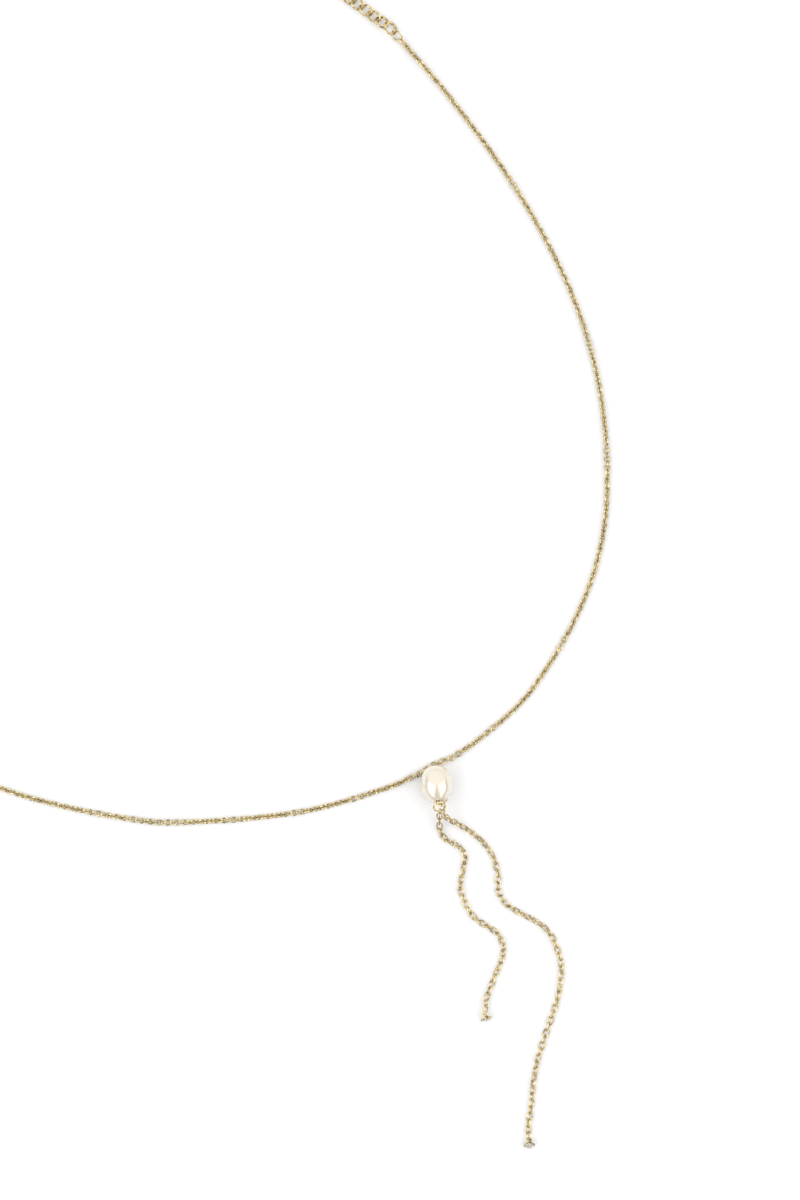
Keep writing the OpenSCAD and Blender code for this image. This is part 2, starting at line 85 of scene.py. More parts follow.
LONG_POINTS = np.array([
    [59.13, -52.35, 4.68], [59.45, -53.05, 4.15], [59.95, -53.6, 3.2], [60.65, -54, 2.2],
    [61.4, -54.4, 1.35], [62.3, -54.9, 0.78], [64.1, -56, 0.62], [65.5, -57.1, 0.62],
    [66.8, -58.2, 0.62], [67.9, -59.7, 0.62], [68.8, -61.3, 0.62], [69.3, -63.1, 0.62],
    [69.6, -64.8, 0.62], [69.5, -66.5, 0.62], [70, -68.5, 0.62], [71.2, -70, 0.62],
    [73, -71.2, 0.62], [74.9, -72.2, 0.62], [76.8, -73.2, 0.62], [78.7, -74.6, 0.62],
    [80, -76.5, 0.62], [80.9, -78.7, 0.62], [81.5, -80.9, 0.62], [81.6, -83.2, 0.62],
    [81.3, -85.5, 0.62], [80.8, -88, 0.62], [79.9, -90.8, 0.62], [78.9, -93.7, 0.62],
    [78, -96.4, 0.62], [77.2, -99, 0.62], [76.6, -101.7, 0.62], [76.2, -104.1, 0.62],
    [76, -106.8, 0.62], [75.7, -109.1, 0.62], [75.4, -111.3, 0.62], [75.3, -113, 0.62],
    [75.5, -115.2, 0.62],
])


class Slot(Enum):
    """Material slots of the record."""

    GOLD = "gold"
    PEARL = "pearl"
    CRYSTAL = "crystal"


def unit(v: np.ndarray | list[float]) -> np.ndarray:
    """Vectors of length 1: v / |v| along the last axis."""
    v = np.asarray(v, float)
    return v / np.linalg.norm(v, axis=-1, keepdims=True)


def between(p0: np.ndarray, p1: np.ndarray, p2: np.ndarray, p3: np.ndarray,
            t: np.ndarray) -> np.ndarray:
    """Smooth curve through four points: half the cubic with slopes (p2 - p0) and (p3 - p1).

    Args:
        p0, p1, p2, p3: Rows of neighbouring route points.
        t: Share of the way from p1 to p2, one value for each step.

    Returns:
        Points, one row for each route point and step.
    """
    p0, p1, p2, p3 = (p[:, None, :] for p in (p0, p1, p2, p3))
    t = t[None, :, None]
    return (2 * p1 + (p2 - p0) * t + (2 * p0 - 5 * p1 + 4 * p2 - p3) * t ** 2
            + (3 * p1 - p0 - 3 * p2 + p3) * t ** 3) / 2


@dataclass(frozen=True)
class Route:
    """A curve that is read by the length along it.

    Attributes:
        points: The curve's points in millimetres.
        STEPS: Steps from one given point to the next.
    """

    points: np.ndarray
    STEPS: ClassVar[int] = 12

    @classmethod
    def closed(cls, p: np.ndarray) -> "Route":
        """The smooth closed curve through the points p.

        Args:
            p: Points in millimetres.

        Returns:
            The route, whose last point is its first.
        """
        t = np.arange(cls.STEPS) / cls.STEPS
        c = between(np.roll(p, 1, 0), p, np.roll(p, -1, 0), np.roll(p, -2, 0), t)
        return cls(np.vstack([c.reshape(-1, 3), p[:1]]))

    @classmethod
    def opened(cls, p: np.ndarray) -> "Route":
        """The smooth curve from the first to the last of the points p.

        Args:
            p: Points in millimetres.

        Returns:
            The route.
        """
        q = np.vstack([2 * p[0] - p[1], p, 2 * p[-1] - p[-2]])
        t = np.arange(cls.STEPS) / cls.STEPS
        c = between(q[:-3], q[1:-2], q[2:-1], q[3:], t)
        return cls(np.vstack([c.reshape(-1, 3), p[-1:]]))

    @cached_property
    def run(self) -> np.ndarray:
        """Length along the curve to each of its points."""
        steps = np.linalg.norm(np.diff(self.points, axis=0), axis=1)
        return np.concatenate([[0.0], np.cumsum(steps)])

    def spot(self, s: np.ndarray) -> np.ndarray:
        """Points at the lengths s."""
        return np.stack([np.interp(s, self.run, self.points[:, k]) for k in range(3)], -1)

    def heading(self, s: np.ndarray, reach: float = 0.4) -> np.ndarray:
        """The way the curve points at the lengths s, over a reach to both sides."""
        return unit(self.spot(s + reach) - self.spot(s - reach))


def link_frame(heads: np.ndarray, rolls: np.ndarray) -> tuple[np.ndarray, np.ndarray]:
    """Across and face directions of links: (side, up) turned by the roll about the heading.

    Args:
        heads: Unit headings, one row a link.
        rolls: Rolls in degrees.

    Returns:
        The directions across each link and square to its face.
    """
    side = unit(np.cross(UP, heads))
    up = np.cross(heads, side)
    c, s = (f(np.radians(rolls))[..., None] for f in (np.cos, np.sin))
    return c * side + s * up, c * up - s * side


def ring_faces(count: int, rings: int, sides: int) -> np.ndarray:
    """Quads of closed wires: station j side k joins station j + 1 side k + 1, both wrapped.

    Args:
        count: Number of wires.
        rings: Stations round each wire.
        sides: Points round each station.

    Returns:
        Four point numbers for each quad, counter-clockwise from outside.
    """
    n, j, k = np.meshgrid(np.arange(count), np.arange(rings), np.arange(sides), indexing="ij")
    a = (n * rings + j) * sides
    b = (n * rings + (j + 1) % rings) * sides
    k2 = (k + 1) % sides
    return np.stack([a + k, b + k, b + k2, a + k2], -1).reshape(-1, 4)


@dataclass(frozen=True)
class LinkShape:
    """Sizes of one kind of wire link, from its centre to the middle of its wire.

    Attributes:
        half: Half length.
        wide: Half width, also the radius of the round ends.
        wire: Thickness of the wire.
        ends: Stations round each end.
        sides: Points round the wire.
        twist: Rise of two opposite quarters, as a curb link has it.
        bow: Share by which the straight sides are rounded out to an ellipse.
    """

    half: float
    wide: float
    wire: float
    ends: int = 6
    sides: int = 6
    twist: float = 0.0
    bow: float = 0.0

    def surface(self, middles: np.ndarray, heads: np.ndarray, rolls: np.ndarray,
                shares: np.ndarray | None = None) -> Mesh:
        """Wires of many links: middle + heading push + out wide + face twist sin 2a, with a
        circle of the wire's radius in the plane of out and face at each angle a. The push is
        half - wide times bow cos a + (1 - bow) towards that end.

        Args:
            middles: Centre of each link.
            heads: Unit heading of each link.
            rolls: Roll of each link in degrees.
            shares: Share of twist and bow that each link has, all of both if left out.

        Returns:
            Points and quads.
        """
        across, face = (v[:, None, :] for v in link_frame(heads, rolls))
        end = np.radians(np.linspace(-90, 90, self.ends))
        a = np.concatenate([end, end + np.pi])
        ca, sa, s2 = (f[None, :, None] for f in (np.cos(a), np.sin(a), np.sin(2 * a)))
        share = np.ones((1, 1, 1)) if shares is None else shares[:, None, None]
        bow = self.bow * share
        push = bow * ca + (1 - bow) * np.repeat([1.0, -1.0], self.ends)[None, :, None]
        out = ca * heads[:, None, :] + sa * across
        mid = (middles[:, None, :] + heads[:, None, :] * push * (self.half - self.wide)
               + out * self.wide + face * self.twist * share * s2)
        k = 2 * np.pi * np.arange(self.sides) / self.sides
        ck, sk = (f[None, None, :, None] for f in (np.cos(k), np.sin(k)))
        points = mid[:, :, None, :] + (out[:, :, None, :] * ck
                                       + face[:, :, None, :] * sk) * self.wire / 2
        quads = ring_faces(len(middles), len(a), self.sides)
        return points.reshape(-1, 3), quads


def place(points: np.ndarray, at: np.ndarray, head: np.ndarray, roll: float) -> np.ndarray:
    """Local points put in place: at + x heading + y across + z face.

    Args:
        points: Local points, x along the piece.
        at: Where the local origin goes.
        head: Unit heading of the local x axis.
        roll: Roll about it in degrees.

    Returns:
        The placed points.
    """
    across, face = link_frame(head, np.asarray(roll, float))
    return at + points[..., :1] * head + points[..., 1:2] * across + points[..., 2:] * face


# Angles b of the stations that close the end of a wire, in degrees
DOME = (75, 50, 25)


def wire_along(path: np.ndarray, normal: np.ndarray, wire: float, sides: int) -> Mesh:
    """A round wire along a flat open path, with domed ends.

    Each station is a circle in the plane of the path's normal and the direction square to
    it and to the path. Smaller stations, of radius r cos b at r sin b past the end, close
    each end.

    Args:
        path: Points of the path.
        normal: Unit vector square to the plane of the path.
        wire: Thickness of the wire.
        sides: Points round the wire.

    Returns:
        Points and faces, with one many-sided face at each end.
    """
    ahead = unit(np.gradient(path, axis=0))
    r = wire / 2
    dome = np.radians(DOME)
    start = path[0] - np.sin(dome)[:, None] * r * ahead[0]
    finish = path[-1] + np.sin(dome[::-1])[:, None] * r * ahead[-1]
    mid = np.vstack([start, path, finish])
    along = np.vstack([np.repeat(ahead[:1], len(dome), 0), ahead,
                       np.repeat(ahead[-1:], len(dome), 0)])
    size = np.concatenate([np.cos(dome), np.ones(len(path)), np.cos(dome[::-1])]) * r
    square = np.cross(normal, along)
    k = 2 * np.pi * np.arange(sides) / sides
    points = mid[:, None, :] + size[:, None, None] * (
        normal * np.cos(k)[None, :, None] - square[:, None, :] * np.sin(k)[None, :, None])
    rings = len(mid)
    j, c = np.meshgrid(np.arange(rings - 1) * sides, np.arange(sides), indexing="ij")
    c2 = (c + 1) % sides
    quads = np.stack([j + c, j + c2, j + sides + c2, j + sides + c], -1).reshape(-1, 4)
    caps = [tuple(range(sides - 1, -1, -1)),
            tuple(range((rings - 1) * sides, rings * sides))]
    return points.reshape(-1, 3), [tuple(map(int, q)) for q in quads] + caps


def turned(profile: np.ndarray, sides: int) -> Mesh:
    """A closed profile of (place, radius) turned about the x axis: (x, r cos k, r sin k).

    Args:
        profile: Points of the closed outline, none of them on the axis.
        sides: Points round the axis.

    Returns:
        Points and quads.
    """
    k = 2 * np.pi * np.arange(sides) / sides
    x, r = profile[:, :1], profile[:, 1:]
    points = np.stack([np.broadcast_to(x, (len(x), sides)), r * np.cos(k), r * np.sin(k)], -1)
    return points.reshape(-1, 3), ring_faces(1, len(profile), sides)


@dataclass(frozen=True)
class RingShape:
    """Sizes of one kind of round wire ring, which is whole or has a cut between domed ends.

    Attributes:
        half: Radius to the middle of the wire.
        wire: Thickness of the wire.
        CUT: Space between the ends of a cut ring, about.
        STATIONS, SIDES: Stations round a cut ring, and points round its wire.
    """

    half: float
    wire: float
    CUT: ClassVar[float] = 0.03
    STATIONS: ClassVar[int] = 48
    SIDES: ClassVar[int] = 12

    def closed(self, sides: int, stations: int) -> Mesh:
        """The whole ring in the xy plane round the origin.

        Args:
            sides: Points round the wire.
            stations: Stations round the ring.

        Returns:
            Points and quads.
        """
        k = 2 * np.pi * np.arange(sides) / sides
        section = np.stack([self.wire / 2 * np.sin(k), self.half + self.wire / 2 * np.cos(k)], -1)
        points, quads = turned(section, stations)
        return points[:, [1, 2, 0]], quads

    def cut(self, at: np.ndarray, head: np.ndarray, roll: float, cut_at: float) -> Mesh:
        """A jump ring: a wire bent round a circle and cut through at one place.

        Args:
            at: Centre of the ring.
            head: Unit heading of its local x axis.
            roll: Roll about it in degrees.
            cut_at: Angle of the cut from the heading, in degrees.

        Returns:
            Points and faces.
        """
        slit = np.degrees((self.wire + self.CUT) / self.half)
        a = np.radians(np.linspace(cut_at + slit / 2, cut_at + 360 - slit / 2, self.STATIONS))
        circle = self.half * np.stack([np.cos(a), np.sin(a), 0 * a], -1)
        _, face = link_frame(head, np.asarray(roll, float))
        return wire_along(place(circle, at, head, roll), face, self.wire, self.SIDES)


def hang(a: LinkShape | RingShape, b: LinkShape | RingShape, free: float) -> float:
    """Centre distance of two loops that hang in each other with some free space."""
    return a.half + b.half - (a.wire + b.wire) / 2 - free


def joined(*meshes: Mesh) -> Mesh:
    """Several meshes as one list of points and one of faces.

    Args:
        meshes: The meshes, each with its own numbers of points.

    Returns:
        Points and faces.
    """
    points, faces, start = [], [], 0
    for p, f in meshes:
        faces += [tuple(int(i) + start for i in face) for face in f]
        points.append(p)
        start += len(p)
    return np.vstack(points), faces


class Nodes:
    """Short ways to add and join the nodes of one tree."""

    def __init__(self, tree: bpy.types.NodeTree) -> None:
        """Keeps the tree."""
        self.tree = tree

    def add(self, kind: str, **values: object) -> bpy.types.Node:
        """Adds a node and sets its properties.

        Args:
            kind: Node type without its ShaderNode prefix, or a full type name.
            values: Properties by name.

        Returns:
            The new node.
        """
        full = kind if kind.startswith("Node") else "ShaderNode" + kind
        node = self.tree.nodes.new(full)
        for name, value in values.items():
            setattr(node, name, value)
        return node

    def join(self, source: bpy.types.NodeSocket, target: bpy.types.NodeSocket) -> None:
        """Links an output to an input."""
        self.tree.links.new(source, target)

    def ramp(self, value: bpy.types.NodeSocket, low: float, high: float,
             to_low: object, to_high: object) -> bpy.types.NodeSocket:
        """A value carried linearly from low..high to to_low..to_high, held at the ends.

        Args:
            value: The socket that is read.
            low, high: Values that give the two ends.
            to_low, to_high: Numbers or sockets for the ends.

        Returns:
            The result socket.
        """
        node = self.add("MapRange")
        node.inputs["From Min"].default_value = low
        node.inputs["From Max"].default_value = high
        for end, name in ((to_low, "To Min"), (to_high, "To Max")):
            if isinstance(end, bpy.types.NodeSocket):
                self.join(end, node.inputs[name])
            else:
                node.inputs[name].default_value = end
        self.join(value, node.inputs["Value"])
        return node.outputs["Result"]


def mottle_group() -> bpy.types.NodeTree:
    """The group that every finish uses: slow patches of tone and fine grain.

    Patches are a soft noise on Object coordinates that mixes two tones. On the golds the deep
    patches are painted dark reflections; on the pearl and the stone they are the material's own
    tone. Grain is a finer noise that carries the roughness from Smooth to Rough and gives the
    height.

    Returns:
        The node group.
    """
    group = bpy.data.node_groups.new("patches_and_grain", "ShaderNodeTree")
    face = group.interface
    for name, kind, value in (
            ("Light Tone", "Color", (1, 1, 1, 1)), ("Deep Tone", "Color", (0.5, 0.5, 0.5, 1)),
            ("Patch Scale", "Float", 300.0), ("Grain Scale", "Float", 3000.0),
            ("Smooth", "Float", 0.1), ("Rough", "Float", 0.3)):
        socket = face.new_socket(name=name, in_out="INPUT", socket_type="NodeSocket" + kind)
        socket.default_value = value
    for name, kind in (("Color", "Color"), ("Roughness", "Float"), ("Height", "Float")):
        face.new_socket(name=name, in_out="OUTPUT", socket_type="NodeSocket" + kind)
    n = Nodes(group)
    given, result = n.add("NodeGroupInput"), n.add("NodeGroupOutput")
    place_of = n.add("TexCoord").outputs["Object"]
    patch, grain = n.add("TexNoise"), n.add("TexNoise")
    for noise, scale, detail in ((patch, "Patch Scale", 2.0), (grain, "Grain Scale", 3.0)):
        noise.inputs["Detail"].default_value = detail
        n.join(place_of, noise.inputs["Vector"])
        n.join(given.outputs[scale], noise.inputs["Scale"])
    mix = n.add("Mix", data_type="RGBA")
    n.join(n.ramp(patch.outputs["Fac"], 0.35, 0.65, 0.0, 1.0), mix.inputs["Factor"])
    n.join(given.outputs["Light Tone"], mix.inputs["A"])
    n.join(given.outputs["Deep Tone"], mix.inputs["B"])
    n.join(mix.outputs["Result"], result.inputs["Color"])
    rough = n.ramp(grain.outputs["Fac"], 0.3, 0.7, given.outputs["Smooth"],
                   given.outputs["Rough"])
    n.join(rough, result.inputs["Roughness"])
    n.join(grain.outputs["Fac"], result.inputs["Height"])
    return group


@dataclass(frozen=True)
class Finish:
    """A finish made of the shared patches and grain, and the shader's own constants.

    Attributes:
        name: Name of the material.
        light, deep: The two tones, linear colour. On the golds the deep tone is painted dark
            reflection.
        patch, grain: Scales of patches and grain, per metre.
        smooth, rough: Range of the roughness.
        bump: Height of the grain in metres.
        constants: Values for the shader's own sockets.
    """

    name: str
    light: Triple
    deep: Triple
    patch: float
    grain: float
    smooth: float
    rough: float
    bump: float
    constants: tuple[tuple[str, object], ...] = ()

    def material(self, group: bpy.types.NodeTree) -> bpy.types.Material:
        """Builds the material.

        Args:
            group: The shared group of patches and grain.

        Returns:
            The material.
        """
        made = bpy.data.materials.new(self.name)
        made.use_nodes = True
        n = Nodes(made.node_tree)
        shader = made.node_tree.nodes["Principled BSDF"]
        mottle = n.add("Group", node_tree=group)
        for socket, value in (("Light Tone", (*self.light, 1)), ("Deep Tone", (*self.deep, 1)),
                              ("Patch Scale", self.patch), ("Grain Scale", self.grain),
                              ("Smooth", self.smooth), ("Rough", self.rough)):
            mottle.inputs[socket].default_value = value
        n.join(mottle.outputs["Color"], shader.inputs["Base Color"])
        n.join(mottle.outputs["Roughness"], shader.inputs["Roughness"])
        bump = n.add("Bump")
        bump.inputs["Distance"].default_value = self.bump
        n.join(mottle.outputs["Height"], bump.inputs["Height"])
        n.join(bump.outputs["Normal"], shader.inputs["Normal"])
        for socket, value in self.constants:
            shader.inputs[socket].default_value = value
        return made


def gold(name: str, light: Triple, deep: Triple) -> Finish:
    """Polished plated gold in two tones: its own colour, and a deep tone in patches that is
    painted dark reflection.
    """
    return Finish(name, light, deep, patch=1500.0, grain=9000.0, smooth=0.06, rough=0.16,
                  bump=6e-6, constants=(("Metallic", 1.0),))


# Copies of one plated gold whose deep patches are painted dark reflections. The tails' and the
# curb's are darker, for stronger painted contrast. The ring's gold is lighter all over, a painted
# highlight on the pin and the tail ring.
PLATED_GOLD = gold("plated_gold", (0.905, 0.76, 0.44), (0.36, 0.28, 0.12))
TAIL_GOLD = gold("tail_gold_painted_reflections", (0.90, 0.745, 0.41), (0.28, 0.21, 0.08))
CURB_GOLD = gold("curb_gold_painted_dark_reflections", (0.90, 0.75, 0.42), (0.34, 0.23, 0.055))
RING_GOLD = gold("ring_gold_painted_highlight", (0.98, 0.83, 0.50), (0.68, 0.53, 0.26))
NACRE = Finish(
    "pearl_nacre", (0.76, 0.70, 0.575), (0.73, 0.66, 0.53), patch=260.0, grain=2600.0,
    smooth=0.14, rough=0.22, bump=6e-6, constants=(
     ("Specular IOR Level", 0.7), ("Coat Weight", 1.0), ("Coat Roughness", 0.20),
     ("Coat IOR", 2.6), ("Subsurface Weight", 0.3), ("Subsurface Scale", 0.0012),
     ("Subsurface Radius", (1.0, 0.8, 0.45))))
CUT_CRYSTAL = Finish(
    "cut_crystal", (0.92, 0.88, 0.82), (0.78, 0.74, 0.67), patch=900.0, grain=5000.0,
    smooth=0.02, rough=0.07, bump=1e-6, constants=(("Transmission Weight", 0.6), ("IOR", 1.55)))


def put(name: str, data: bpy.types.ID) -> bpy.types.Object:
    """A new object in the scene, made of the data.

    Args:
        name: Name of the object.
        data: Its mesh, light or camera.

    Returns:
        The object.
    """
    made = bpy.data.objects.new(name, data)
    bpy.context.scene.collection.objects.link(made)
    return made


@dataclass
class Bench:
    """Where meshes become pieces of the part.

    Attributes:
        gold: Of the fine chains, the pearl's link and the clasp.
        curb_gold: Of the extension, its ring and the oval link, with darker painted reflections.
        tail_gold: Of the tails and their cups, with darker painted reflections.
        ring_gold: Of the pearl's pin and the tail ring, painted lighter as a highlight.
        nacre, crystal: Of the pearl and the stones.
    """

    gold: bpy.types.Material
    curb_gold: bpy.types.Material
    tail_gold: bpy.types.Material
    ring_gold: bpy.types.Material
    nacre: bpy.types.Material
    crystal: bpy.types.Material

    @classmethod
    def ready(cls) -> "Bench":
        """Builds the shared group and the materials.

        Returns:
            The bench.
        """
        group = mottle_group()
        return cls(*(finish.material(group) for finish in (
            PLATED_GOLD, CURB_GOLD, TAIL_GOLD, RING_GOLD, NACRE, CUT_CRYSTAL)))

    def piece(self, name: str, mesh: Mesh, material: bpy.types.Material, slot: Slot,
              *nodes: str, sharp: float = 60.0) -> bpy.types.Object:
        """Puts a mesh into the scene as a piece that stands for its CAD nodes.

        Args:
            name: Name of the piece.
            mesh: Points in millimetres, and faces.
            material: Its material.
            slot: A slot of the record; not used.
            nodes: CAD nodes it replaces.
            sharp: Angle in degrees past which an edge is crisp.

        Returns:
            The new object.
        """
        points, faces = mesh
        data = bpy.data.meshes.new(name)
        data.from_pydata((points * MM).tolist(), [], [tuple(map(int, f)) for f in faces])
        data.polygons.foreach_set("use_smooth", np.ones(len(data.polygons), bool))
        data.set_sharp_from_angle(angle=np.radians(sharp))
        data.update()
        data.materials.append(material)
        made = put(name, data)
        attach(made, "root")
        if nodes:
            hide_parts(*nodes)
        log.info("%s: %d faces", name, len(data.polygons))
        return made


def dress(node: str, material: bpy.types.Material) -> None:
    """Gives a CAD node that stays a material of its own.

    Args:
        node: Name of the node.
        material: Its material.
    """
    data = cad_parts[node].data
    data.materials.clear()
    data.materials.append(material)
    log.info("%s: kept with %s", node, material.name)


@dataclass
class Loop:
    """The loop from the pearl's link, up the right side and round to the link again.

    Half sizes reach from a piece's centre to the middle of its wire. Angles are in degrees.

    Attributes:
        pendant, fine, oval, curb: The link that carries the pearl, a fine link, the oval
            link and a link of the extension.
        jump, clasp, eye: The jump rings beside the extension and the clasp, the clasp and
            its eye.
        pendant_reach: Length of loop over which the pendant link's heading is read.
        pitch: Distance between fine links, about.
        fine_free, clasp_free: Free space of the fine chains' end links in the links beside
            them, and in the clasp's jump ring.
        zigzag: Turn of the fine links' zigzag.
        flat_near, flat_reach: How near to the chain a flat place counts, and how far it
            reaches along it.
        drift, drift_step, drift_bend: Share and two rates of the zigzag's slow drift.
        fade: Length over which the zigzag fades in and out at the ends.
        tube_half: Half width of the CAD's tube, so the height of the route's middle.
        slack: How far above the surface the fine links stop sinking.
        sink_start, sink_stop, sink_over: Where they start to sink after the start and stop
            before the end, and the length over which they do.
        lying: Height under which the route lies on the surface.
        oval_at, oval_roll, oval_free: Length along the loop to the oval link, its roll and
            its free space in the extension ring.
        jump_roll: Roll of the extension ring.
        ext_links, ext_pitch: Number and distance of the extension's links.
        ext_free: Free space of the first of them in the extension ring.
        ext_last_roll: Roll of the last, which the clasp's bar goes through.
        ext_lift: How much higher than the route they lie.
        bar_side, bar_drop: Place of the clasp's bar from the end of that link.
        eye_up, eye_out: Rise of the clasp's eye, and its distance from the bar's middle.
        clasp_ring_free, clasp_ring_drop: Place of the jump ring in that eye.
        clasp_dir, clasp_ring_dir: The ways that the clasp and its jump ring point.
        flat_places: Where fine links lie flat in the photograph.
    """

    pendant: LinkShape = LinkShape(half=0.71, wide=0.46, wire=0.28, ends=11, sides=12)
    fine: LinkShape = LinkShape(half=0.595, wide=0.44, wire=0.32, ends=6, sides=5)
    oval: LinkShape = LinkShape(half=1.11, wide=0.76, wire=0.28, ends=12, sides=12)
    curb: LinkShape = LinkShape(half=1.285, wide=0.89, wire=0.42, ends=9, sides=8,
                                twist=0.36, bow=0.8)
    jump: RingShape = RingShape(half=1.29, wire=0.42)
    clasp: RingShape = RingShape(half=2.1, wire=0.8)
    eye: RingShape = RingShape(half=0.62, wire=0.35)
    pendant_reach: float = 0.8
    pitch: float = 0.83
    fine_free: float = 0.04
    clasp_free: float = 0.12
    zigzag: float = 45.0
    flat_near: float = 1.0
    flat_reach: float = 1.9
    drift: float = 0.22
    drift_step: float = 0.9
    drift_bend: float = 0.13
    fade: float = 4.0
    tube_half: float = 0.61
    slack: float = 0.02
    sink_start: float = 1.0
    sink_stop: float = 6.0
    sink_over: float = 5.0
    lying: float = 0.63
    oval_at: float = 162.5
    oval_roll: float = -30.0
    oval_free: float = 0.15
    jump_roll: float = 42.0
    ext_links: int = 25
    ext_pitch: float = 1.95
    ext_free: float = 0.2
    ext_last_roll: float = 100.0
    ext_lift: float = 0.03
    bar_side: float = 0.04
    bar_drop: float = 0.12
    eye_up: float = 0.46
    eye_out: float = 0.9
    clasp_ring_free: float = 0.09
    clasp_ring_drop: float = 0.05

    clasp_dir: ClassVar[np.ndarray] = unit([-1, 0.1, -0.12])
    clasp_ring_dir: ClassVar[np.ndarray] = unit([-1, 0.1, -0.09])
    flat_places: ClassVar[np.ndarray] = np.array([
        [58.8, -43.0], [60.3, -42.2], [61.8, -41.4], [54.4, -45.1], [-6.2, -52.8],
        [0.6, -53.9], [5.5, -54.4], [8.6, -54.4], [90.3, 15.8], [90.4, 14.4], [52.4, 92.6],
        [72.6, 66.6], [86.9, 36.4], [81.4, -20.8], [68.4, -36.6], [31.0, -52.5],
        [19.2, -53.9], [43.6, -49.5]])

    @cached_property
    def route(self) -> Route:
        """The whole loop as a route."""
        return Route.closed(LOOP_POINTS)

    @cached_property
    def pendant_dir(self) -> np.ndarray:
        """Heading of the link that carries the pearl."""
        return unit(self.route.spot(self.pendant_reach) - self.route.spot(0.0))

    @cached_property
    def jump_at(self) -> float:
        """Length along the loop to the extension ring."""
        return self.oval_at + hang(self.oval, self.jump, self.oval_free)

    @cached_property
    def ext_at(self) -> float:
        """Length along the loop to the first extension link."""
        return self.jump_at + hang(self.jump, self.curb, self.ext_free)

    @cached_property
    def ext_end(self) -> float:
        """Length along the loop to the last extension link."""
        return self.ext_at + (self.ext_links - 1) * self.ext_pitch

    @property
    def eye_off(self) -> float:
        """Distance from the clasp's centre to its eye."""
        return self.clasp.half + self.eye_out

    @cached_property
    def clasp_at(self) -> np.ndarray:
        """Centre of the clasp."""
        bar = self.route.spot(self.ext_end) + [self.curb.wide - self.curb.half,
                                               self.bar_side, -self.bar_drop]
        return bar + self.clasp.half * self.clasp_dir

    @cached_property
    def clasp_ring_at(self) -> np.ndarray:
        """Centre of the jump ring beside the clasp."""
        return (self.clasp_at + self.eye_off * self.clasp_dir
                + [0, 0, self.eye_up - self.clasp_ring_drop]
                + (self.jump.half + self.clasp_ring_free) * self.clasp_ring_dir)

    @cached_property
    def clasp_ring_run(self) -> float:
        """Length along the loop to the centre of the clasp's jump ring."""
        return (self.ext_end + self.curb.half - self.curb.wide + self.clasp.half
                + self.eye_off + self.jump.half + self.clasp_ring_free)

    def offset(self, s: np.ndarray, middles: np.ndarray) -> np.ndarray:
        """Slow offset of the fine links' rolls: zigzag (1 + lean), in degrees.

        Lean is 1 or -1 where every other link lies flat, falling off as a bell curve of the
        distance, and elsewhere drift sin(step s + 2 sin(bend s)).

        Args:
            s: Lengths along the loop.
            middles: The points there.

        Returns:
            One offset for each length.
        """
        far = np.linalg.norm(middles[:, None, :2] - self.flat_places[None], axis=-1)
        sign = np.where(far.argmin(0) % 2 == 1, -1.0, 1.0)
        close = far.min(0) < self.flat_near
        lean = (sign * close * np.exp(-(far / self.flat_reach) ** 2)).sum(1)
        lean = np.clip(lean, -1, 1)
        sway = np.sin(s * self.drift_step + 2 * np.sin(s * self.drift_bend))
        return self.zigzag * (1 + lean + self.drift * sway * (1 - abs(lean)))

    def fine_rows(self, start: float, stop: float, odd: bool,
                  last: float = 0.0) -> tuple[np.ndarray, np.ndarray, np.ndarray]:
        """Middles, headings and rolls of the fine links between two places of the loop.

        Each link is turned a quarter from the last, on top of the slow offset, which fades
        towards both ends into what the rings and links there ask for. The middles sink until
        the lower sides of the links touch the surface: a link rises by wide |sin roll|, and
        the highest of three neighbours counts, averaged over five.

        Args:
            start: Length along the loop to the first link's middle.
            stop: Length to the last link's middle.
            odd: Whether the number of links is odd.
            last: Offset of the last link in degrees. That of the first is 0.

        Returns:
            Middles, headings and rolls.
        """
        count = round((stop - start) / self.pitch) + 1
        count += (count % 2 == 1) != odd
        s = np.linspace(start, stop, count)
        after, before = s - start, stop - s
        middles = self.route.spot(s)
        ramp = np.clip(before / self.fade, 0, 1)
        offset = self.offset(s, middles) * np.clip(after / self.fade, 0, 1)
        rolls = 90 * (np.arange(count) + 1) + offset * ramp + last * (1 - ramp)
        rise = self.fine.wide * abs(np.sin(np.radians(rolls)))
        rise = np.maximum(rise, np.maximum(np.roll(rise, 1), np.roll(rise, -1)))
        kernel = np.ones(5) / 5
        rise = np.convolve(np.pad(rise, 2, mode="edge"), kernel, "valid")
        sink = np.clip(self.tube_half - self.slack - self.fine.wire / 2 - rise, 0, None)
        sink *= np.clip((after - self.sink_start) / self.sink_over, 0, 1)
        sink *= np.clip((before - self.sink_stop) / self.sink_over, 0, 1)
        middles[:, 2] -= sink * (middles[:, 2] < self.lying)
        return middles, self.route.heading(s), rolls

    def build(self, bench: Bench) -> None:
        """Makes both fine chains, the pearl's link, the rings, the extension and the clasp.

        Args:
            bench: Where the pieces are made and dressed.
        """
        fine = self.fine
        first = hang(self.pendant, fine, self.fine_free)
        last = self.oval_at - hang(self.oval, fine, self.fine_free)
        right = fine.surface(*self.fine_rows(first, last, False, 90 + self.oval_roll))
        bench.piece("fine_chain_right", right, bench.gold, Slot.GOLD, "main_chain_right",
                    sharp=80)
        left_start = self.clasp_ring_run + hang(self.jump, fine, self.clasp_free)
        left = fine.surface(*self.fine_rows(left_start, self.route.run[-1] - first, True))
        bench.piece("fine_chain_left", left, bench.gold, Slot.GOLD, "main_chain_left",
                    sharp=80)
        self.build_links(bench)
        self.build_clasp(bench)

